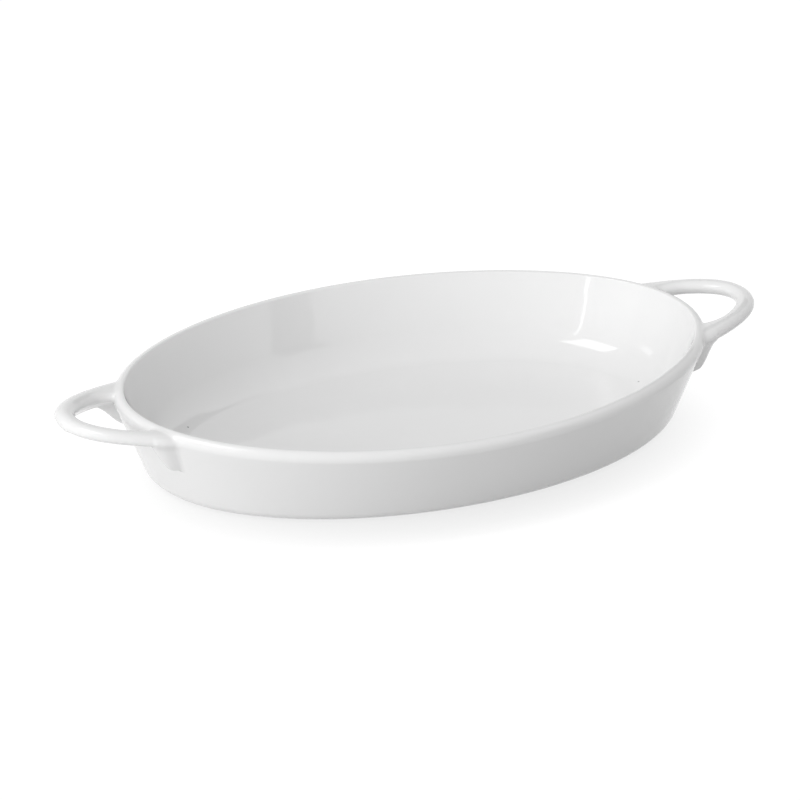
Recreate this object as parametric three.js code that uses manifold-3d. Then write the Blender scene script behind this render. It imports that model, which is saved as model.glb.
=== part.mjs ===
// Oval porcelain baking dish with a loop handle at each end.
// Millimetres, +Z up. The origin is on the table, under the middle of the dish.
// +X runs along the dish towards one handle and +Y across it towards one long side.

import * as THREE from 'three';
import Module from 'manifold-3d';

const wasm = await Module();
wasm.setup();

// Rim
const rimLength = 272.8;
const rimWidth = 182.7;
const rimHeight = 37.2; // crest of the lip at the middle of each long side
const rimRise = 2; // how much higher the crest is at the two ends
const quarterPinch = 1.7; // how far the rim's four quarters are drawn in from a true ellipse
const lipThickness = 4.2;
const lipOuterRadius = 3.3;
const lipInnerRadius = 0.9;

// Wall, floor and foot
const wallInset = 14.3; // how far the outside leans in from the lip to the base
const wallThickness = 6.5; // measured level, where the wall meets the floor
const baseRadius = 7.5; // round between the wall's outside and the foot
const floorHeight = 4.6; // upper face of the floor, above the table
const floorRadius = 19; // round between the wall's inside and the floor
const footWidth = 5; // flat ring that stands on the table
const footRecess = 1.2; // how far the floor's underside is raised inside the foot

// Handles
const handleReach = 29.25; // from the end of the rim to the tip of the loop
const loopLength = 71; // half length of the oval that the bar follows
const loopWidth = 64; // full width of that oval
const loopFullness = 2.135; // 2 is an ellipse, more is squarer
const barWidth = 8.1;
const barHeight = 6.35;
const barDrop = 3.3; // middle of the bar below the crest, at the end of the rim
const barTilt = 5.5; // rise of the bar towards its tip, in degrees
const gussetDepth = 11.6; // how far the gusset reaches down below the bar
const gussetReach = 5.8; // how far the gusset starts out from the lip
const gussetSpan = 8.9; // how far in from there it has grown to its full depth
const gussetEdge = 1.05; // section of the gusset's lower half: 2 is an oval, 1 is a sharp V
const outerFlare = 1.4; // how far the bar widens towards the lip on its outer side
const holeFlare = 8; // and on the side of the finger hole
const flareReach = 13; // how far out from the lip the flares start
const jointGap = 0.3; // slip joint between a handle and the body

// Fineness of the facets
const turnSteps = 96;
const arcSteps = 6;
const barSteps = 48;
const sectionSteps = 20;

// Lean of the outer wall from upright: it touches the lip's round and runs to the foot of the wall
const leanReach = wallInset - lipOuterRadius;
const leanRise = rimHeight - lipOuterRadius;
const lean = Math.atan2(leanReach, leanRise) + Math.asin(lipOuterRadius / Math.hypot(leanReach, leanRise));

// Inset of the outer wall's straight line at a given height, counted from the outside of the lip
function wallLineAt(height) {
  return wallInset - height * Math.tan(lean);
}

// Share of the pinch and of the end rise that a given height takes
function pinchAt(height) {
  const quarterRadius = Math.hypot(rimLength, rimWidth) / Math.sqrt(8);
  return (quarterPinch / quarterRadius) * (height / rimHeight);
}

function riseAt(height) {
  const share = Math.max(0, (height - floorHeight) / (rimHeight - floorHeight));
  return rimRise * share;
}

// One level ring of the dish: an oval drawn in from the outside of the lip
function ovalRing(inset, height) {
  const halfLength = rimLength / 2 - inset;
  const halfWidth = rimWidth / 2 - inset;
  const ring = [];
  for (let step = 0; step < turnSteps; step += 1) {
    const turn = (2 * Math.PI * step) / turnSteps;
    const drawn = 1 - pinchAt(height) * Math.sin(2 * turn) ** 2;
    const x = halfLength * Math.cos(turn) * drawn;
    const y = halfWidth * Math.sin(turn) * drawn;
    const z = height + riseAt(height) * Math.cos(turn) ** 2;
    ring.push(new THREE.Vector3(x, y, z));
  }
  return ring;
}

// How far a plan point lies inside the outside of the lip; negative when it is outside
function insetOf(x, y) {
  let low = -rimLength;
  let high = rimWidth / 2 - lipThickness;
  for (let step = 0; step < 50; step += 1) {
    const inset = (low + high) / 2;
    const across = x / (rimLength / 2 - inset);
    const along = y / (rimWidth / 2 - inset);
    const turn = Math.atan2(along, across);
    const drawn = 1 - pinchAt(rimHeight) * Math.sin(2 * turn) ** 2;
    if (Math.hypot(across, along) < drawn) {
      low = inset;
    } else {
      high = inset;
    }
  }
  return (low + high) / 2;
}

// A profile with each corner rounded by its own radius; a round never takes more than its edges have
function roundCorners(corners) {
  const reaches = corners.map((corner, index) => {
    if (index === 0 || index === corners.length - 1) {
      return 0;
    }
    const back = corners[index - 1].at.clone().sub(corner.at).normalize();
    const ahead = corners[index + 1].at.clone().sub(corner.at).normalize();
    return corner.radius / Math.tan(Math.acos(back.dot(ahead)) / 2);
  });
  const shares = corners.map((corner, index) => {
    let share = 1;
    for (const other of [index - 1, index + 1]) {
      if (other >= 0 && other < corners.length) {
        const edge = corner.at.distanceTo(corners[other].at) * 0.96;
        share = Math.min(share, edge / Math.max(reaches[index] + reaches[other], edge));
      }
    }
    return share;
  });
  const points = [];
  corners.forEach((corner, index) => {
    const reach = reaches[index] * shares[index];
    if (reach === 0) {
      points.push(corner.at.clone());
      return;
    }
    const back = corners[index - 1].at.clone().sub(corner.at).normalize();
    const ahead = corners[index + 1].at.clone().sub(corner.at).normalize();
    const half = Math.acos(back.dot(ahead)) / 2;
    const radius = reach * Math.tan(half);
    const middle = back.clone().add(ahead).normalize().multiplyScalar(radius / Math.sin(half)).add(corner.at);
    const spoke = corner.at.clone().addScaledVector(back, reach).sub(middle);
    const sweep = Math.sign(ahead.cross(back)) * (Math.PI - 2 * half);
    for (let step = 0; step <= arcSteps; step += 1) {
      const turned = spoke.clone().rotateAround(new THREE.Vector2(), (sweep * step) / arcSteps);
      points.push(turned.add(middle));
    }
  });
  return points;
}

function corner(inset, height, radius = 0) {
  return { at: new THREE.Vector2(inset, height), radius };
}

// Outside of the dish, from the foot's inner edge up to the crest of the lip
const baseReach = baseRadius * Math.tan(Math.PI / 4 - lean / 2);
const footInset = wallInset + baseReach + footWidth;
const outerCorners = [
  corner(footInset, 0),
  corner(wallInset, 0, baseRadius),
  corner(wallLineAt(rimHeight), rimHeight, lipOuterRadius),
];
const innerCorners = [
  corner(lipThickness, rimHeight, lipInnerRadius),
  corner(wallLineAt(floorHeight) + wallThickness, floorHeight, floorRadius),
];
const floorEnd = corner(rimWidth / 3, floorHeight);
const recessEdge = corner(footInset + footRecess, footRecess);

// A closed skin over a row of rings, with a fan over the first and the last
function skin(rings) {
  const count = rings[0].length;
  const positions = [];
  const indices = [];
  const middles = [rings[0], rings[rings.length - 1]].map((ring) => {
    const middle = new THREE.Vector3();
    ring.forEach((point) => middle.addScaledVector(point, 1 / count));
    return middle;
  });
  for (const point of [...rings.flat(), ...middles]) {
    positions.push(point.x, point.y, point.z);
  }
  const firstMiddle = rings.length * count;
  const lastMiddle = firstMiddle + 1;
  const lastRing = (rings.length - 1) * count;
  for (let step = 0; step < count; step += 1) {
    const next = (step + 1) % count;
    indices.push(firstMiddle, next, step);
    indices.push(lastMiddle, lastRing + step, lastRing + next);
    for (let row = 0; row < rings.length - 1; row += 1) {
      const here = row * count;
      const above = here + count;
      indices.push(here + step, here + next, above + next);
      indices.push(here + step, above + next, above + step);
    }
  }
  const geometry = new THREE.BufferGeometry();
  geometry.setAttribute('position', new THREE.Float32BufferAttribute(positions, 3));
  geometry.setIndex(indices);
  return geometry;
}

function toSolid(geometry) {
  const vertProperties = new Float32Array(geometry.attributes.position.array);
  const triVerts = new Uint32Array(geometry.index.array);
  return new wasm.Manifold(new wasm.Mesh({ numProp: 3, vertProperties, triVerts }));
}

function toGeometry(solid) {
  const mesh = solid.getMesh();
  const geometry = new THREE.BufferGeometry();
  geometry.setAttribute('position', new THREE.BufferAttribute(mesh.vertProperties, 3));
  geometry.setIndex(new THREE.BufferAttribute(mesh.triVerts, 1));
  return geometry;
}

// Body: one profile swept round the oval, from the recess under the floor, over the lip, to the floor
function makeBody() {
  const profile = roundCorners([recessEdge, ...outerCorners, ...innerCorners, floorEnd]);
  const floorStart = profile.length - 1;
  return skin(profile.slice(0, floorStart).map((point) => ovalRing(point.x, point.y)));
}

// Filled outer form of the dish, grown by the joint's gap; it trims the handles' roots
function makeEnvelope() {
  const rounded = roundCorners([...outerCorners, ...innerCorners]);
  const profile = rounded.slice(0, 2 * arcSteps + 3);
  const grown = profile.map((point, index) => {
    const from = profile[Math.max(index - 1, 0)];
    const to = profile[Math.min(index + 1, profile.length - 1)];
    const along = to.clone().sub(from).normalize();
    return new THREE.Vector2(point.x - along.y * jointGap, point.y + along.x * jointGap);
  });
  return skin(grown.map((point) => ovalRing(point.x, point.y)));
}

function smoothStep(value) {
  const share = Math.min(Math.max(value, 0), 1);
  return share * share * (3 - 2 * share);
}

// Plan of a handle's loop: half an oval, from deep inside one side of the wall to the other
const tipCentre = rimLength / 2 + handleReach - barWidth / 2;
function loopPoint(turn) {
  const across = Math.cos(turn) ** (2 / loopFullness);
  const along = Math.sign(turn) * Math.abs(Math.sin(turn)) ** (2 / loopFullness);
  return new THREE.Vector2(tipCentre - loopLength + loopLength * across, (loopWidth / 2) * along);
}

// Height from the crest down to the tip of a gusset, and the wall's inset there
const gussetFoot = barDrop + barHeight / 2 + gussetDepth;
const gussetInset = wallLineAt(rimHeight - gussetFoot);
const rootInset = gussetInset + lipThickness;

// Turn of the loop at which its middle line has sunk to the root's depth
function rootTurn() {
  let low = 0;
  let high = Math.PI / 2;
  for (let step = 0; step < 50; step += 1) {
    const turn = (low + high) / 2;
    const point = loopPoint(turn);
    if (insetOf(point.x, point.y) < rootInset) {
      low = turn;
    } else {
      high = turn;
    }
  }
  return low;
}

// One upright section of the bar: oval above, and below it the oval stretched down into the gusset
function barSection(turn) {
  const point = loopPoint(turn);
  const nudge = 0.001;
  const ahead = loopPoint(turn + nudge).sub(loopPoint(turn - nudge)).normalize();
  const side = new THREE.Vector2(-ahead.y, ahead.x);
  const clear = -insetOf(point.x, point.y);
  const crest = rimHeight + rimRise;
  const climb = Math.tan(THREE.MathUtils.degToRad(barTilt)) * (point.x - rimLength / 2);
  const sink = Math.max(0, -clear) * Math.tan(lean);
  const middle = crest - barDrop + climb - sink;
  const flare = Math.min(Math.max(1 - clear / flareReach, 0), 1) ** 2;
  const grown = smoothStep((gussetReach - clear) / gussetSpan);
  const lower = barHeight / 2 + Math.max(0, gussetDepth * grown - sink);
  const edge = 2 + (gussetEdge - 2) * grown;
  const ring = [];
  for (let step = 0; step < sectionSteps; step += 1) {
    const around = (2 * Math.PI * step) / sectionSteps;
    const power = step <= sectionSteps / 2 ? 1 : 2 / edge;
    const across = Math.sign(Math.cos(around)) * Math.abs(Math.cos(around)) ** power;
    const upward = Math.sign(Math.sin(around)) * Math.abs(Math.sin(around)) ** power;
    const out = across * (barWidth / 2 + flare * (across > 0 ? holeFlare : outerFlare));
    const z = middle + upward * (upward > 0 ? barHeight / 2 : lower);
    ring.push(new THREE.Vector3(point.x + side.x * out, point.y + side.y * out, z));
  }
  return ring;
}

// Handle: the bar lofted round the loop, with both roots trimmed to the outside of the dish
function makeHandle() {
  const limit = rootTurn();
  const rings = [];
  for (let step = 0; step <= barSteps; step += 1) {
    rings.push(barSection(limit * ((2 * step) / barSteps - 1)));
  }
  const bar = toSolid(skin(rings));
  return toGeometry(bar.subtract(toSolid(makeEnvelope())));
}

const porcelain = new THREE.MeshStandardMaterial({ color: 0xeaeae9, roughness: 0.12, metalness: 0 });

function piece(name, geometry) {
  const mesh = new THREE.Mesh(geometry, porcelain.clone());
  mesh.name = name;
  return mesh;
}

const handleGeometry = makeHandle();
const dish = new THREE.Group();
const rightHandle = piece('handle_right', handleGeometry);
const leftHandle = piece('handle_left', handleGeometry);
leftHandle.rotation.z = Math.PI;
dish.add(piece('dish_body', makeBody()), rightHandle, leftHandle);

export default dish;
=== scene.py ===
import math

import bpy
import numpy as np
from mathutils import Matrix, Vector


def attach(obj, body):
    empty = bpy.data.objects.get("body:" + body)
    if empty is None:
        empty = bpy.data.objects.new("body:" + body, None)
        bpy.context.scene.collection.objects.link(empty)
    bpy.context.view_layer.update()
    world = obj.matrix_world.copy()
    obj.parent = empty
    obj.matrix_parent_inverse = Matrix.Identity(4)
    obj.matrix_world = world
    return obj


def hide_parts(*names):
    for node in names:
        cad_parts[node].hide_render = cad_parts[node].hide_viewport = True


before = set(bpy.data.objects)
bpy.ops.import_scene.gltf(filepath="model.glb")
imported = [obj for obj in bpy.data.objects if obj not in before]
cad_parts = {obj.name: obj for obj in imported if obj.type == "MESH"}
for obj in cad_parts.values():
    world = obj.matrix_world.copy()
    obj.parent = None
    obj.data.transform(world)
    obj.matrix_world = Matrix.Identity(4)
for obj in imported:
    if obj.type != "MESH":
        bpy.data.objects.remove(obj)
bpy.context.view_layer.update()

# Oval porcelain baking dish with a loop handle at each end.
# The shape code works in millimetres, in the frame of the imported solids: +Z up, origin on the table
# under the middle of the dish. Everything handed to Blender is turned into metres.
MILLIMETRE = 0.001

# Rim
RIM_LENGTH = 272.8
RIM_WIDTH = 182.7
RIM_HEIGHT = 37.2  # crest of the lip at the middle of each long side
RIM_RISE = 2.0  # how much higher the crest is at the two ends
QUARTER_PINCH = 1.7  # how far the rim's quarters are drawn in from a true ellipse
LIP_THICKNESS = 4.2
LIP_OUTER_RADIUS = 3.3
LIP_INNER_RADIUS = 0.9

# Wall, floor and foot
WALL_INSET = 14.3  # how far the outside leans in from the lip to the base
WALL_THICKNESS = 6.5  # measured level, where the wall meets the floor
BASE_RADIUS = 7.5
FLOOR_HEIGHT = 4.6
FLOOR_RADIUS = 19.0
FOOT_WIDTH = 5.0
FOOT_RECESS = 1.2
FOOT_EDGE = 0.5  # round on the edges of the foot ring

# Handles
HANDLE_REACH = 29.25  # from the end of the rim to the tip of the loop
LOOP_LENGTH = 71.0  # half length of the oval that the bar follows
LOOP_WIDTH = 64.0
LOOP_FULLNESS = 2.135  # 2 is an ellipse, more is squarer
BAR_WIDTH = 8.1
BAR_HEIGHT = 6.35
BAR_DROP = 3.3  # middle of the bar below the crest, at the end of the rim
BAR_TILT = math.radians(5.5)
GUSSET_DEPTH = 11.6
GUSSET_REACH = 5.8  # how far the gusset starts out from the lip
GUSSET_SPAN = 8.9  # how far in from there it has grown to its full depth
KEEL_RADIUS = 1.2  # round along the gusset's lower edge
KEEL_BLEND = 2.0  # how far the fillet between the bar and the gusset's flanks reaches
KEEL_BLEND_LEAST = 0.2  # share of that reach where there is no gusset
KEEL_ONSET = 2.5  # how much sooner the keel is sharp than the gusset is deep
OUTER_FLARE = 1.0  # how far the bar widens towards the lip on its outer side
HOLE_FLARE = 8.0  # and on the side of the finger hole
FLARE_REACH = 13.0  # how far out from the lip the flares start
ROOT_BLEND = 1.2  # how far the fillet between a handle and the body reaches
ROOT_BLEND_LEAST = 0.001  # reach of the fillet where it has run out
ROOT_DEPTH = LIP_THICKNESS / 2  # how deep the bar runs into the wall
CREST_REACH = 3.2  # how far in over the crest the fillet runs out

# The left handle was finished by hand: its far arm keeps a seam below and a fuller root,
# and its near arm is thinner
FIN_DEPTH = 2.2
FIN_START = 3.0  # how far from the middle of the loop the two arms start to differ
FIN_RAMP = 4.0  # how far on from there they have their full form
FAR_GUSSET_REACH = 9.0
FAR_GUSSET_SPAN = 14.0
FAR_FLARE = 2.5  # change of the flare on the side of the finger hole
NEAR_THINNING = 0.6
NEAR_FLARE = -3.0

# Pinholes in the glaze: place, radius and the share of the tone that is left
PINHOLES = [((-90.8, 38.7, 5.8), 0.55, 0.35), ((110.8, -0.7, 5.5), 0.6, 0.6)]

# Glaze: lowest and highest value over the surface, and waves per metre
GLAZE_TONE = (0.87, 0.90)
GLAZE_TONE_WAVES = 18
GLAZE_ROUGHNESS = (0.03, 0.06)
GLAZE_ROUGHNESS_WAVES = 60
GLAZE_REFRACTION = 1.5
RIPPLE_STRENGTH = 0.25
RIPPLE_HEIGHT = 0.6
RIPPLE_WAVES = 55

# Bare clay of the foot ring
CLAY_TONE = (0.62, 0.76)
CLAY_TONE_WAVES = 900
CLAY_TINT = (1, 0.97, 0.92)
CLAY_ROUGHNESS = 0.75
GRAIN_STRENGTH = 0.4
GRAIN_HEIGHT = 0.1
GRAIN_WAVES = 2500
FOOT_TOUCH = 0.12  # faces of the body that lie lower than this are bare

# Studio, in metres and degrees: azimuth 0 stands in front of the dish and 90 to its right
GROUND_SIZE = 12.0
GROUND_DROP = 0.0001  # keeps the ground just clear of the foot ring
GROUND_BOUNCE = 0.66  # grey of the ground for the light that it throws back
GROUND_GREY = 0.07  # grey that takes light where the ground is seen
GROUND_GLOW_AND_PAINTED_SHADOW = (0.66, 0.985)  # glow of the ground where it is seen, in the dish's painted shadow and out of it
# Reach and samples of the closeness that the ground's painted shadow is made from
PAINTED_SHADOW_REACH = 0.027
PAINTED_SHADOW_SAMPLES = 16
FLAG_TONE = 0.03

# Directions that the ground's painted shadow looks along: the glow is darkened where the dish is in the way
# of both
PAINTED_SHADOW_LEANS = [(-0.55, 0.78, 0.3), (0.55, 0.78, 0.3)]

# Directions that the sky's light leans to, each as long as its strength
SKY_LIGHT = [(-0.15, 0.17, 0.79), (-0.5, -0.83, -0.12)]

# Camera
CAMERA_AZIMUTH = -24.873
CAMERA_ELEVATION = 24.598
CAMERA_DISTANCE = 2.2435
CAMERA_AIM = (0, 0, 0.0198)
CAMERA_RIGHT = -0.005776  # slides that put the dish where the photograph has it
CAMERA_UP = -0.002129
CAMERA_LENS = 230.7  # in millimetres, as is the sensor
CAMERA_SENSOR = 36

# Fineness of the meshes
TURN_STEPS = 384
ARC_STEPS = 16
RING_SPACING = 4.0
CELL = 0.4  # size of the grid that a handle's surface is found on
GRID_MARGIN = 8.0  # room round a handle in that grid
GRID_INWARD = 20.0  # how far in from the end of the rim the grid starts
GRID_BOTTOM = 14.0  # height that it starts at
FILLET_END = 0.99  # share of the root fillet's reach where a handle's mesh ends
OFF_SURFACE = 0.1  # how far off the true surface a vertex that is kept may lie
LOOP_TURN = math.radians(84)  # how far round its oval the loop is followed, each way
LOOP_FINE_STEPS = 20001
LOOP_STEPS = 3001
INSET_OUTSIDE = 40.0  # how far outside the lip an inset is looked for
INSET_MIDDLE = 30.0  # and how far from the dish's long middle line it stops
INSET_HALVINGS = 26
RISE_ROUNDS = 4  # rounds for finding a height whose own rise has been added to it

lean_reach = WALL_INSET - LIP_OUTER_RADIUS
lean_rise = RIM_HEIGHT - LIP_OUTER_RADIUS
LEAN = math.atan2(lean_reach, lean_rise) + math.asin(LIP_OUTER_RADIUS / math.hypot(lean_reach, lean_rise))
HALF_LENGTH = RIM_LENGTH / 2
HALF_WIDTH = RIM_WIDTH / 2
TIP_CENTRE = HALF_LENGTH + HANDLE_REACH - BAR_WIDTH / 2


def wall_line(height):
    """Inset of the outer wall's straight line at a height, counted from the outside of the lip."""
    return WALL_INSET - height * math.tan(LEAN)


def pinch_at(height):
    quarter_radius = math.hypot(RIM_LENGTH, RIM_WIDTH) / math.sqrt(8)
    return QUARTER_PINCH / quarter_radius * height / RIM_HEIGHT


def rise_at(height):
    share = np.maximum(0, (height - FLOOR_HEIGHT) / (RIM_HEIGHT - FLOOR_HEIGHT))
    return RIM_RISE * share


def oval_points(inset, height, turn):
    """Points of one ring of the dish: an oval drawn in from the outside of the lip."""
    drawn = 1 - pinch_at(height) * np.sin(2 * turn) ** 2
    x = (HALF_LENGTH - inset) * np.cos(turn) * drawn
    y = (HALF_WIDTH - inset) * np.sin(turn) * drawn
    z = height + rise_at(height) * np.cos(turn) ** 2
    return np.stack([x, y, z], axis=-1)


def smooth_step(value):
    share = np.clip(value, 0, 1)
    return share * share * (3 - 2 * share)


def rounded(corners):
    """Points and directions of a profile through corners (inset, height, radius), each rounded."""
    at = np.array([corner[:2] for corner in corners], float)
    points = [at[0]]
    headings = [at[1] - at[0]]
    for index in range(1, len(corners) - 1):
        back = at[index - 1] - at[index]
        ahead = at[index + 1] - at[index]
        back /= np.linalg.norm(back)
        ahead /= np.linalg.norm(ahead)
        half = math.acos(np.clip(back @ ahead, -1, 1)) / 2
        radius = corners[index][2]
        middle = at[index] + (back + ahead) / np.linalg.norm(back + ahead) * radius / math.sin(half)
        spoke = at[index] + back * radius / math.tan(half) - middle
        side = np.sign(ahead[0] * back[1] - ahead[1] * back[0])
        for step in range(ARC_STEPS + 1):
            angle = side * (math.pi - 2 * half) * step / ARC_STEPS
            turned = complex(*spoke) * complex(math.cos(angle), math.sin(angle))
            points.append(middle + np.array([turned.real, turned.imag]))
            headings.append(side * np.array([-turned.imag, turned.real]))
    points.append(at[-1])
    headings.append(at[-1] - at[-2])
    return np.array(points), np.array([heading / np.linalg.norm(heading) for heading in headings])


def with_rings_between(points, headings):
    """The same profile with extra points along its long straight runs."""
    new_points = [points[0]]
    new_headings = [headings[0]]
    for index in range(1, len(points)):
        start = points[index - 1]
        run = points[index] - start
        count = max(1, math.ceil(np.linalg.norm(run) / RING_SPACING))
        for step in range(1, count):
            new_points.append(start + run * step / count)
            new_headings.append(run / np.linalg.norm(run))
        new_points.append(points[index])
        new_headings.append(headings[index])
    return np.array(new_points), np.array(new_headings)


def make_body():
    """Vertices, faces, normals and the faces of the bare foot ring."""
    foot_inset = WALL_INSET + BASE_RADIUS * math.tan(math.pi / 4 - LEAN / 2) + FOOT_WIDTH
    recess_inset = foot_inset + FOOT_RECESS
    corners = [
        (recess_inset + RING_SPACING, FOOT_RECESS, 0),
        (recess_inset, FOOT_RECESS, FOOT_EDGE),
        (foot_inset, 0, FOOT_EDGE),
        (WALL_INSET, 0, BASE_RADIUS),
        (wall_line(RIM_HEIGHT), RIM_HEIGHT, LIP_OUTER_RADIUS),
        (LIP_THICKNESS, RIM_HEIGHT, LIP_INNER_RADIUS),
        (wall_line(FLOOR_HEIGHT) + WALL_THICKNESS, FLOOR_HEIGHT, FLOOR_RADIUS),
        (RIM_WIDTH / 3, FLOOR_HEIGHT, 0),
    ]
    points, headings = with_rings_between(*rounded(corners))
    turn = np.arange(TURN_STEPS) * 2 * math.pi / TURN_STEPS
    nudge = 0.001
    rings = []
    normals = []
    for point, heading in zip(points, headings):
        before = point - heading * nudge
        after = point + heading * nudge
        up_profile = oval_points(*after, turn) - oval_points(*before, turn)
        round_ring = oval_points(*point, turn + nudge) - oval_points(*point, turn - nudge)
        normal = np.cross(round_ring, up_profile)
        rings.append(oval_points(*point, turn))
        normals.append(normal / np.linalg.norm(normal, axis=1, keepdims=True))
    underside_middle = len(points) * TURN_STEPS
    floor_middle = underside_middle + 1
    middles = np.array([[0, 0, FOOT_RECESS], [0, 0, FLOOR_HEIGHT]])
    here = np.arange(TURN_STEPS)
    following = (here + 1) % TURN_STEPS
    faces = []
    bare = []
    for row in range(len(points) - 1):
        low = row * TURN_STEPS
        high = low + TURN_STEPS
        faces += np.stack([low + here, low + following, high + following, high + here], axis=1).tolist()
        touches = max(points[row][1], points[row + 1][1]) < FOOT_TOUCH
        bare += [touches] * TURN_STEPS
    last = (len(points) - 1) * TURN_STEPS
    for step in range(TURN_STEPS):
        faces.append([underside_middle, int(following[step]), step])
        faces.append([floor_middle, last + step, last + int(following[step])])
        bare += [False, False]
    vertices = np.concatenate(rings + [middles])
    ends = np.array([[0.0, 0.0, -1.0], [0.0, 0.0, 1.0]])
    return vertices, faces, np.concatenate(normals + [ends]), bare


def inset_of(x, y, height):
    """Inset of plan points from the outside of the lip, by the oval that holds at their height."""
    pinch = pinch_at(height)
    low = np.full(x.shape, -INSET_OUTSIDE)
    high = np.full(x.shape, HALF_WIDTH - INSET_MIDDLE)
    for _ in range(INSET_HALVINGS):
        middle = (low + high) / 2
        across = x / (HALF_LENGTH - middle)
        along = y / (HALF_WIDTH - middle)
        square = across**2 + along**2
        double_sine = 2 * across * along / square
        inside = np.sqrt(square) < 1 - pinch * double_sine**2
        low = np.where(inside, middle, low)
        high = np.where(inside, high, middle)
    return (low + high) / 2


# Outside of the dish as one convex outline, with the open top taken as closed
outside_line, _ = rounded([
    (HALF_WIDTH / 2, 0, 0),
    (WALL_INSET, 0, BASE_RADIUS),
    (wall_line(RIM_HEIGHT), RIM_HEIGHT, LIP_OUTER_RADIUS),
    (HALF_WIDTH / 2, RIM_HEIGHT, 0),
])


def outside_distance(points):
    """Distance of points from the outside of the dish, negative within it, and their depth in the wall."""
    x, y, z = points.T
    turn = np.arctan2(y / HALF_WIDTH, x / HALF_LENGTH)
    height = z
    for _ in range(RISE_ROUNDS):
        height = z - rise_at(height) * np.cos(turn) ** 2
    inset = inset_of(x, y, np.clip(height, 0, RIM_HEIGHT))
    distance = np.full(len(x), np.inf)
    for start, end in zip(outside_line[:-1], outside_line[1:]):
        run = end - start
        length = np.hypot(*run)
        run = run / length
        along = np.clip((inset - start[0]) * run[0] + (height - start[1]) * run[1], 0, length)
        aside = inset - start[0] - along * run[0]
        above = height - start[1] - along * run[1]
        gap = np.hypot(aside, above) * np.where(aside * run[1] < above * run[0], 1, -1)
        distance = np.where(np.abs(gap) < np.abs(distance), gap, distance)
    return distance, inset - np.maximum(wall_line(height), 0)


def make_loop():
    """The handle's middle line in plan: run along it, x, y and how far it is out from the lip."""
    turn = np.linspace(-1, 1, LOOP_FINE_STEPS) * LOOP_TURN
    x = TIP_CENTRE - LOOP_LENGTH + LOOP_LENGTH * np.cos(turn) ** (2 / LOOP_FULLNESS)
    y = LOOP_WIDTH / 2 * np.sign(turn) * np.abs(np.sin(turn)) ** (2 / LOOP_FULLNESS)
    length = np.concatenate([[0], np.cumsum(np.hypot(np.diff(x), np.diff(y)))])
    run = np.linspace(0, length[-1], LOOP_STEPS)
    x = np.interp(run, length, x)
    y = np.interp(run, length, y)
    inset = inset_of(x, y, np.full(x.shape, RIM_HEIGHT))
    kept = inset < WALL_INSET
    return run[kept], x[kept], y[kept], -inset[kept]


loop_run, loop_x, loop_y, loop_clear = make_loop()


def nearest_on_loop(x, y):
    """For plan points: place along the loop, distance from it (positive in the hole), x and y there."""
    stride = 30
    steps = 4
    least_bend = 1e-12
    gaps = (x[:, None] - loop_x[::stride]) ** 2 + (y[:, None] - loop_y[::stride]) ** 2
    run = loop_run[::stride][np.argmin(gaps, axis=1)]
    reach = loop_run[stride] - loop_run[0]
    rows = np.arange(len(x))
    for _ in range(2):
        tries = np.clip(run[:, None] + reach * np.linspace(-1, 1, 2 * steps + 1), loop_run[0], loop_run[-1])
        gaps = (x[:, None] - np.interp(tries, loop_run, loop_x)) ** 2
        gaps += (y[:, None] - np.interp(tries, loop_run, loop_y)) ** 2
        best = np.clip(np.argmin(gaps, axis=1), 1, 2 * steps - 1)
        before = gaps[rows, best - 1]
        after = gaps[rows, best + 1]
        bend = np.maximum(before + after - 2 * gaps[rows, best], least_bend)
        shift = np.clip((before - after) / (2 * bend), -1, 1)
        run = np.clip(tries[rows, best] + shift * reach / steps, loop_run[0], loop_run[-1])
        reach /= steps
    near_x = np.interp(run, loop_run, loop_x)
    near_y = np.interp(run, loop_run, loop_y)
    along = np.maximum(0, x - TIP_CENTRE + LOOP_LENGTH) / LOOP_LENGTH
    gauge = along**LOOP_FULLNESS + np.abs(2 * y / LOOP_WIDTH) ** LOOP_FULLNESS
    gap = np.hypot(x - near_x, y - near_y)
    return run, np.where(gauge < 1, gap, -gap), near_x, near_y


def smooth_least(first, second, reach):
    """The lesser of two distances, with a fillet where they are within a reach of each other."""
    share = np.maximum(1 - np.abs(first - second) / reach, 0)
    return np.minimum(first, second) - share**2 * reach / 4


def oval_distance(across, upward, half_width, half_height):
    """Distance from an oval section, true close to its edge."""
    least_slope = 1e-6
    size = np.hypot(across / half_width, upward / half_height)
    slope = np.hypot(across / half_width**2, upward / half_height**2)
    return size * (size - 1) / np.maximum(slope, least_slope)


def keel_distance(across, below, half_width, depth):
    """Distance from a V section that starts at a half width and comes to a rounded edge at a depth."""
    length = np.hypot(half_width, depth)
    inward = -half_width / length
    downward = depth / length
    along = np.clip((across - half_width) * inward + below * downward, 0, length)
    gap = np.hypot(across - half_width - along * inward, below - along * downward)
    inside = (below > 0) & (across < half_width * (1 - below / depth))
    return np.where(inside, -gap, gap) - KEEL_RADIUS


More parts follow.
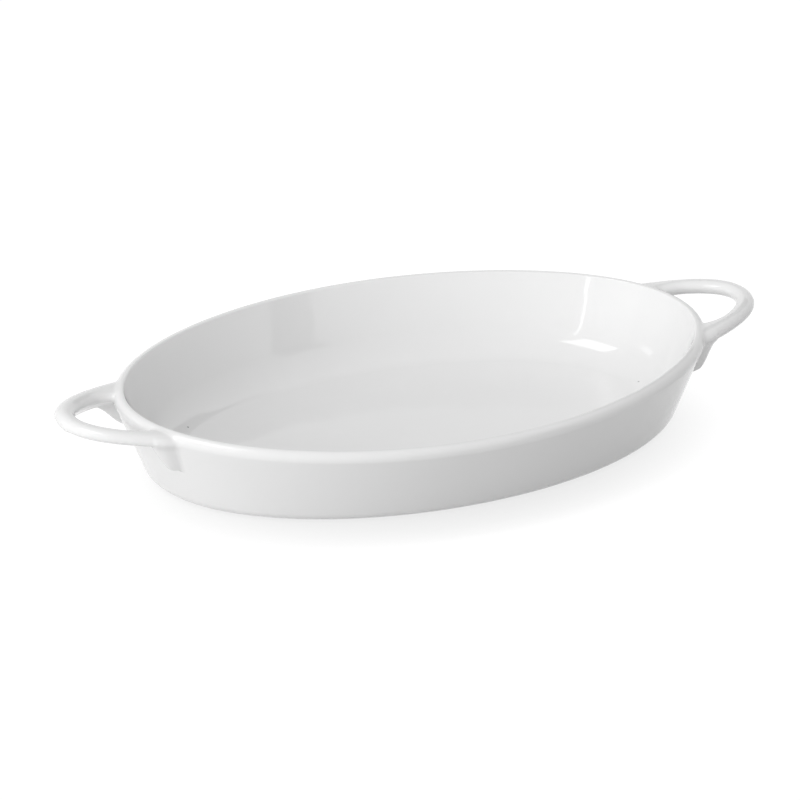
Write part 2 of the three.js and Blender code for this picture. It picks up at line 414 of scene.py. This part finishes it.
def bar_distance(z, near, hand_finished):
    """Distance from the handle's bar: an oval, with the gusset's keel growing out below it at the roots."""
    run, aside, near_x, near_y = near
    clear = np.interp(run, loop_run, loop_clear)
    middle = RIM_HEIGHT + RIM_RISE - BAR_DROP + math.tan(BAR_TILT) * (near_x - HALF_LENGTH)
    far = smooth_step((near_y - FIN_START) / FIN_RAMP) * hand_finished
    close = smooth_step((-near_y - FIN_START) / FIN_RAMP) * hand_finished
    reach = GUSSET_REACH + (FAR_GUSSET_REACH - GUSSET_REACH) * far
    span = GUSSET_SPAN + (FAR_GUSSET_SPAN - GUSSET_SPAN) * far
    grown = smooth_step((reach - clear) / span)
    flare = np.clip(1 - clear / FLARE_REACH, 0, 1) ** 2
    outer_width = BAR_WIDTH / 2 + flare * OUTER_FLARE
    hole_width = BAR_WIDTH / 2 + flare * (HOLE_FLARE + FAR_FLARE * far + NEAR_FLARE * close)
    half_width = np.where(aside > 0, hole_width, outer_width)
    upward = z - middle
    half_height = np.where(upward > 0, BAR_HEIGHT / 2, BAR_HEIGHT / 2 - NEAR_THINNING * close)
    oval = oval_distance(aside, upward, half_width, half_height)
    keeled = np.maximum(smooth_step(KEEL_ONSET * grown), far)
    shrink = KEEL_RADIUS + KEEL_BLEND / 2 * (1 - keeled)
    depth = BAR_HEIGHT / 2 + GUSSET_DEPTH * grown + FIN_DEPTH * far - NEAR_THINNING * close - shrink
    keel_width = outer_width + np.where(aside > 0, hole_width - outer_width, 0) / 2 - shrink
    keel = keel_distance(np.abs(aside), -upward, keel_width, depth)
    blend = KEEL_BLEND * (KEEL_BLEND_LEAST + (1 - KEEL_BLEND_LEAST) * keeled)
    return smooth_least(oval, keel, blend)


def join_to_body(points, bar):
    """Bar and body joined with a fillet: distance from both, and 1 or more where only the body is left."""
    body, depth = outside_distance(points)
    bar = np.maximum(bar, depth - ROOT_DEPTH)
    blend = ROOT_BLEND * smooth_step((CREST_REACH - depth) / ROOT_DEPTH) + ROOT_BLEND_LEAST
    return smooth_least(bar, body, blend), (bar - body) / blend


def surface_of(values, low):
    """Vertices and four-sided faces where a grid of distances passes through zero."""
    inside = values < 0
    cells = np.array(values.shape) - 1
    corners = [(i, j, k) for i in (0, 1) for j in (0, 1) for k in (0, 1)]
    count = np.zeros(cells, int)
    for i, j, k in corners:
        count += inside[i:i + cells[0], j:j + cells[1], k:k + cells[2]]
    mixed = (count > 0) & (count < 8)
    number = np.full(cells, -1)
    number[mixed] = np.arange(mixed.sum())
    places = np.argwhere(mixed)
    total = np.zeros((len(places), 3))
    crossings = np.zeros(len(places))
    for corner in corners:
        for axis in range(3):
            if corner[axis] == 1:
                continue
            step = np.eye(3, dtype=int)[axis]
            first = values[tuple((places + corner).T)]
            second = values[tuple((places + corner + step).T)]
            crossed = (first < 0) != (second < 0)
            share = np.where(crossed, first / np.where(crossed, first - second, 1), 0)
            total += crossed[:, None] * (places + corner + share[:, None] * step)
            crossings += crossed
    vertices = low + CELL * total / crossings[:, None]
    faces = []
    for axis in range(3):
        step, side, other = np.roll(np.eye(3, dtype=int), -axis, axis=0)
        start = np.delete(inside, -1, axis=axis)
        end = np.delete(inside, 0, axis=axis)
        edges = np.argwhere(start != end)
        for across in (side.argmax(), other.argmax()):
            edges = edges[(edges[:, across] > 0) & (edges[:, across] < cells[across])]
        leaving = start[tuple(edges.T)]
        ring = [edges - side - other, edges - other, edges, edges - side]
        quads = np.stack([number[tuple(cell.T)] for cell in ring], axis=1)
        faces.append(np.where(leaving[:, None], quads, quads[:, ::-1]))
    return vertices, np.concatenate(faces)


def make_handle(hand_finished):
    """Vertices, faces and normals of the right handle, with its roots running out onto the wall."""
    half_span = LOOP_WIDTH / 2 + GRID_MARGIN
    low = np.array([HALF_LENGTH - GRID_INWARD, -half_span, GRID_BOTTOM])
    high = np.array([TIP_CENTRE + BAR_WIDTH, half_span, RIM_HEIGHT + GRID_MARGIN])
    lines = [np.arange(low[axis], high[axis], CELL) for axis in range(3)]
    grid = np.stack(np.meshgrid(*lines, indexing="ij"), axis=-1).reshape(-1, 3)
    plan = np.stack(np.meshgrid(*lines[:2], indexing="ij"), axis=-1).reshape(-1, 2)
    near = [np.repeat(value, len(lines[2])) for value in nearest_on_loop(*plan.T)]
    values = bar_distance(grid[:, 2], near, hand_finished)
    close = values < ROOT_BLEND + 3 * CELL
    values[close] = join_to_body(grid[close], values[close])[0]
    vertices, faces = surface_of(values.reshape([len(line) for line in lines]), low)

    def distance(points):
        near = nearest_on_loop(*points[:, :2].T)
        return join_to_body(points, bar_distance(points[:, 2], near, hand_finished))

    def steepest(points):
        reach = 0.12
        pairs = [(points + reach * axis, points - reach * axis) for axis in np.eye(3)]
        return np.stack([(distance(a)[0] - distance(b)[0]) / (2 * reach) for a, b in pairs], axis=1)

    least_square = 0.2
    for _ in range(2):
        slope = steepest(vertices)
        size = np.maximum((slope**2).sum(axis=1), least_square)
        move = np.clip(distance(vertices)[0] / size, -CELL / 2, CELL / 2)
        vertices = vertices - move[:, None] * slope
    off, lead = distance(vertices)
    slope = steepest(vertices)
    normals = slope / np.linalg.norm(slope, axis=1, keepdims=True)
    true = np.abs(off) < OFF_SURFACE
    own = (lead < FILLET_END) & true
    faces = faces[own[faces].any(axis=1) & true[faces].all(axis=1)]
    used, faces = np.unique(faces, return_inverse=True)
    return vertices[used], faces.reshape(-1, 4), normals[used]


def add_piece(name, vertices, faces, normals, materials, node):
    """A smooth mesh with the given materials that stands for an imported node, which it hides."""
    mesh = bpy.data.meshes.new(name)
    mesh.from_pydata((vertices * MILLIMETRE).tolist(), [], [list(map(int, face)) for face in faces])
    for material in materials:
        mesh.materials.append(material)
    mesh.polygons.foreach_set("use_smooth", [True] * len(mesh.polygons))
    mesh.normals_split_custom_set_from_vertices(normals.tolist())
    piece = bpy.data.objects.new(name, mesh)
    bpy.context.scene.collection.objects.link(piece)
    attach(piece, "root")
    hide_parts(node)
    return piece


# Materials

def new_material(name):
    """A material with a plain Principled shader; returns it with its nodes, links and shader."""
    material = bpy.data.materials.new(name)
    material.use_nodes = True
    nodes = material.node_tree.nodes
    return material, nodes, material.node_tree.links, nodes["Principled BSDF"]


def noise(nodes, links, scale, detail):
    """A noise over the object's own place, in waves per metre."""
    place = nodes.new("ShaderNodeTexCoord")
    texture = nodes.new("ShaderNodeTexNoise")
    texture.inputs["Scale"].default_value = scale
    texture.inputs["Detail"].default_value = detail
    links.new(place.outputs["Object"], texture.inputs["Vector"])
    return texture.outputs["Fac"]


def ramp(nodes, links, value, low, high):
    """A value from 0 to 1 turned into a colour or a number between low and high."""
    mix = nodes.new("ShaderNodeMapRange")
    mix.inputs["To Min"].default_value = low
    mix.inputs["To Max"].default_value = high
    links.new(value, mix.inputs["Value"])
    return mix.outputs["Result"]


def grey(nodes, links, value, tint):
    """A number turned into a colour with a faint tint."""
    colour = nodes.new("ShaderNodeCombineColor")
    for channel, share in zip(("Red", "Green", "Blue"), tint):
        scaled = nodes.new("ShaderNodeMath")
        scaled.operation = "MULTIPLY"
        scaled.inputs[1].default_value = share
        links.new(value, scaled.inputs[0])
        links.new(scaled.outputs["Value"], colour.inputs[channel])
    return colour.outputs["Color"]


def with_pinhole(nodes, links, tone, place, radius, share):
    """A tone that drops to a share of itself in a small spot."""
    own_place = nodes.new("ShaderNodeTexCoord")
    gap = nodes.new("ShaderNodeVectorMath")
    gap.operation = "DISTANCE"
    gap.inputs[1].default_value = [value * MILLIMETRE for value in place]
    links.new(own_place.outputs["Object"], gap.inputs[0])
    shade = nodes.new("ShaderNodeMapRange")
    shade.inputs["From Min"].default_value = radius / 2 * MILLIMETRE
    shade.inputs["From Max"].default_value = radius * MILLIMETRE
    shade.inputs["To Min"].default_value = share
    links.new(gap.outputs["Value"], shade.inputs["Value"])
    darkened = nodes.new("ShaderNodeMath")
    darkened.operation = "MULTIPLY"
    links.new(tone, darkened.inputs[0])
    links.new(shade.outputs["Result"], darkened.inputs[1])
    return darkened.outputs["Value"]


def make_glaze():
    """Clear glaze over white porcelain: even white, a slow ripple and a slightly uneven gloss."""
    material, nodes, links, shader = new_material("porcelain_glaze")
    tone = ramp(nodes, links, noise(nodes, links, GLAZE_TONE_WAVES, 3), *GLAZE_TONE)
    for place, radius, share in PINHOLES:
        tone = with_pinhole(nodes, links, tone, place, radius, share)
    links.new(grey(nodes, links, tone, (1, 1, 1)), shader.inputs["Base Color"])
    gloss = ramp(nodes, links, noise(nodes, links, GLAZE_ROUGHNESS_WAVES, 4), *GLAZE_ROUGHNESS)
    links.new(gloss, shader.inputs["Roughness"])
    shader.inputs["IOR"].default_value = GLAZE_REFRACTION
    ripple = nodes.new("ShaderNodeBump")
    ripple.inputs["Strength"].default_value = RIPPLE_STRENGTH
    ripple.inputs["Distance"].default_value = RIPPLE_HEIGHT * MILLIMETRE
    links.new(noise(nodes, links, RIPPLE_WAVES, 2), ripple.inputs["Height"])
    links.new(ripple.outputs["Normal"], shader.inputs["Normal"])
    return material


def make_bare_clay():
    """Unglazed, slightly sandy foot ring."""
    material, nodes, links, shader = new_material("bare_foot")
    tone = ramp(nodes, links, noise(nodes, links, CLAY_TONE_WAVES, 4), *CLAY_TONE)
    links.new(grey(nodes, links, tone, CLAY_TINT), shader.inputs["Base Color"])
    shader.inputs["Roughness"].default_value = CLAY_ROUGHNESS
    grain = nodes.new("ShaderNodeBump")
    grain.inputs["Strength"].default_value = GRAIN_STRENGTH
    grain.inputs["Distance"].default_value = GRAIN_HEIGHT * MILLIMETRE
    links.new(noise(nodes, links, GRAIN_WAVES, 3), grain.inputs["Height"])
    links.new(grain.outputs["Normal"], shader.inputs["Normal"])
    return material


def seen_directly(nodes, links):
    """1 for rays from the camera or from a glossy or clear surface, else 0."""
    path = nodes.new("ShaderNodeLightPath")
    total = path.outputs["Is Camera Ray"]
    for name in ("Is Glossy Ray", "Is Transmission Ray"):
        larger = nodes.new("ShaderNodeMath")
        larger.operation = "MAXIMUM"
        links.new(total, larger.inputs[0])
        links.new(path.outputs[name], larger.inputs[1])
        total = larger.outputs["Value"]
    return total


# Studio

def openness(nodes, links, lean):
    """How free the space round a direction is of anything close by; the ground's painted shadow is made
    from it.
    """
    closeness = nodes.new("ShaderNodeAmbientOcclusion")
    closeness.samples = PAINTED_SHADOW_SAMPLES
    closeness.inputs["Distance"].default_value = PAINTED_SHADOW_REACH
    painted_shadow_lean = nodes.new("ShaderNodeCombineXYZ")
    for axis, share in zip("XYZ", lean):
        painted_shadow_lean.inputs[axis].default_value = share
    links.new(painted_shadow_lean.outputs["Vector"], closeness.inputs["Normal"])
    return closeness.outputs["AO"]


def add_panel(name, width, height, material):
    """A flat panel that belongs to the studio and not to the dish."""
    x = width / 2
    y = height / 2
    mesh = bpy.data.meshes.new(name)
    mesh.from_pydata([(-x, -y, 0), (x, -y, 0), (x, y, 0), (-x, y, 0)], [], [(0, 1, 2, 3)])
    mesh.materials.append(material)
    panel = bpy.data.objects.new(name, mesh)
    bpy.context.scene.collection.objects.link(panel)
    return panel


def make_floor():
    """White ground that is seen as white, with the dish's shadow painted into its glow; its faint grey part
    takes real shadow.
    """
    material = bpy.data.materials.new("white_ground")
    material.use_nodes = True
    nodes = material.node_tree.nodes
    links = material.node_tree.links
    nodes.clear()
    plain = nodes.new("ShaderNodeBsdfDiffuse")
    plain.inputs["Color"].default_value = (GROUND_BOUNCE, GROUND_BOUNCE, GROUND_BOUNCE, 1)
    shaded = nodes.new("ShaderNodeBsdfDiffuse")
    shaded.inputs["Color"].default_value = (GROUND_GREY, GROUND_GREY, GROUND_GREY, 1)
    glow_with_painted_shadow = nodes.new("ShaderNodeEmission")
    # Painted shadow: the glow dims where the dish is close by towards both leans
    freer = nodes.new("ShaderNodeMath")
    freer.operation = "MAXIMUM"
    for place, lean in enumerate(PAINTED_SHADOW_LEANS):
        links.new(openness(nodes, links, lean), freer.inputs[place])
    links.new(ramp(nodes, links, freer.outputs["Value"], *GROUND_GLOW_AND_PAINTED_SHADOW), glow_with_painted_shadow.inputs["Strength"])
    both = nodes.new("ShaderNodeAddShader")
    links.new(shaded.outputs["BSDF"], both.inputs[0])
    links.new(glow_with_painted_shadow.outputs["Emission"], both.inputs[1])
    choice = nodes.new("ShaderNodeMixShader")
    links.new(seen_directly(nodes, links), choice.inputs["Fac"])
    links.new(plain.outputs["BSDF"], choice.inputs[1])
    links.new(both.outputs["Shader"], choice.inputs[2])
    output = nodes.new("ShaderNodeOutputMaterial")
    links.new(choice.outputs["Shader"], output.inputs["Surface"])
    ground = add_panel("ground", GROUND_SIZE, GROUND_SIZE, material)
    ground.location.z = -GROUND_DROP


def make_world():
    """Soft light from above and from the front left; seen as white."""
    world = bpy.data.worlds.new("studio")
    bpy.context.scene.world = world
    world.use_nodes = True
    nodes = world.node_tree.nodes
    links = world.node_tree.links
    nodes.clear()
    lit = nodes.new("ShaderNodeBackground")
    lit.inputs["Color"].default_value = (1, 1, 1, 1)
    place = nodes.new("ShaderNodeTexCoord")
    strength = None
    for lean in SKY_LIGHT:
        facing = nodes.new("ShaderNodeVectorMath")
        facing.operation = "DOT_PRODUCT"
        facing.inputs[1].default_value = lean
        links.new(place.outputs["Generated"], facing.inputs[0])
        shown = nodes.new("ShaderNodeMath")
        shown.operation = "MAXIMUM"
        shown.inputs[1].default_value = 0
        links.new(facing.outputs["Value"], shown.inputs[0])
        if strength is None:
            strength = shown.outputs["Value"]
            continue
        total = nodes.new("ShaderNodeMath")
        links.new(strength, total.inputs[0])
        links.new(shown.outputs["Value"], total.inputs[1])
        strength = total.outputs["Value"]
    links.new(strength, lit.inputs["Strength"])
    white = nodes.new("ShaderNodeBackground")
    white.inputs["Color"].default_value = (1, 1, 1, 1)
    choice = nodes.new("ShaderNodeMixShader")
    links.new(seen_directly(nodes, links), choice.inputs["Fac"])
    links.new(lit.outputs["Background"], choice.inputs[1])
    links.new(white.outputs["Background"], choice.inputs[2])
    output = nodes.new("ShaderNodeOutputWorld")
    links.new(choice.outputs["Shader"], output.inputs["Surface"])


def direction(azimuth, elevation):
    """Outward from the dish. Azimuth 0 stands in front, 90 to the right."""
    turn = math.radians(azimuth)
    climb = math.radians(elevation)
    return Vector((math.sin(turn) * math.cos(climb), -math.cos(turn) * math.cos(climb), math.sin(climb)))


def aim_at_dish(thing, azimuth, elevation, distance):
    """Put a lamp or a panel in its place, out of the camera's sight, and turn it to the dish."""
    outward = direction(azimuth, elevation)
    thing.location = outward * distance
    thing.rotation_euler = (-outward).to_track_quat("-Z", "Y").to_euler()
    thing.visible_camera = False


def softbox(name, azimuth, elevation, distance, width, height, radiance, in_glaze):
    """A flat soft light, either one that lights the dish or one that only shows in its glaze."""
    data = bpy.data.lights.new(name, "AREA")
    data.shape = "RECTANGLE"
    data.size = width
    data.size_y = height
    data.energy = radiance * math.pi * width * height
    lamp = bpy.data.objects.new(name, data)
    aim_at_dish(lamp, azimuth, elevation, distance)
    lamp.visible_glossy = in_glaze
    lamp.visible_diffuse = not in_glaze
    bpy.context.scene.collection.objects.link(lamp)


def flag(name, azimuth, elevation, distance, width, height):
    """A flat dark panel that keeps light off the dish and shows in its glaze."""
    material, _, _, shader = new_material(name)
    shader.inputs["Base Color"].default_value = (FLAG_TONE, FLAG_TONE, FLAG_TONE, 1)
    shader.inputs["Roughness"].default_value = 1
    panel = add_panel(name, width, height, material)
    aim_at_dish(panel, azimuth, elevation, distance)


def make_camera():
    """A long lens at the photograph's viewing angle."""
    back = direction(CAMERA_AZIMUTH, CAMERA_ELEVATION)
    azimuth = math.radians(CAMERA_AZIMUTH)
    right = Vector((math.cos(azimuth), math.sin(azimuth), 0))
    up = back.cross(right)
    data = bpy.data.cameras.new("camera")
    data.sensor_width = CAMERA_SENSOR
    data.lens = CAMERA_LENS
    data.clip_start = 0.1
    data.clip_end = 50
    camera = bpy.data.objects.new("camera", data)
    place = Vector(CAMERA_AIM) + right * CAMERA_RIGHT + up * CAMERA_UP + back * CAMERA_DISTANCE
    camera.matrix_world = Matrix((
        (right.x, up.x, back.x, place.x),
        (right.y, up.y, back.y, place.y),
        (right.z, up.z, back.z, place.z),
        (0, 0, 0, 1),
    ))
    bpy.context.scene.collection.objects.link(camera)
    bpy.context.scene.camera = camera


# The dish

glaze = make_glaze()
bare_clay = make_bare_clay()

body_vertices, body_faces, body_normals, bare_faces = make_body()
body_piece = add_piece(
    "dish_body_glazed", body_vertices, body_faces, body_normals,
    [glaze, bare_clay], "dish_body",
)
body_piece.data.polygons.foreach_set("material_index", [int(bare) for bare in bare_faces])

vertices, faces, normals = make_handle(0)
add_piece("handle_right_glazed", vertices, faces, normals, [glaze], "handle_right")

mirror = np.array([-1, 1, 1])
vertices, faces, normals = make_handle(1)
add_piece(
    "handle_left_glazed", vertices * mirror, faces[:, ::-1], normals * mirror,
    [glaze], "handle_left",
)

# The studio. Each lamp has its azimuth, elevation, distance, width, height and radiance, and whether it is
# one that shows in the glaze; each flag has the first five.

make_floor()
make_world()
softbox("key", -82, 14, 1.3, 0.9, 0.5, 3.7, False)
softbox("fill_right", 55, 52, 1.0, 0.6, 0.4, 0.7, False)
softbox("rim_right", 112, 3, 1.4, 0.9, 0.15, 7.0, False)
softbox("window_core", -89, 56.5, 1.2, 0.52, 0.42, 4.0, True)
softbox("window", -80, 31, 1.3, 0.9, 0.95, 0.35, True)
softbox("window_side", -60.5, 26, 1.2, 0.035, 0.6, 3.4, True)
softbox("window_back", -127, 18, 1.6, 0.4, 0.3, 1.5, True)
flag("flag_right", 136, 37, 1.2, 0.5, 0.34)
flag("flag_front", 38, 20, 1.4, 0.3, 0.7)
flag("flag_low", 22, 5, 1.3, 1.25, 0.36)
make_camera()

bpy.context.scene.view_settings.view_transform = "Standard"
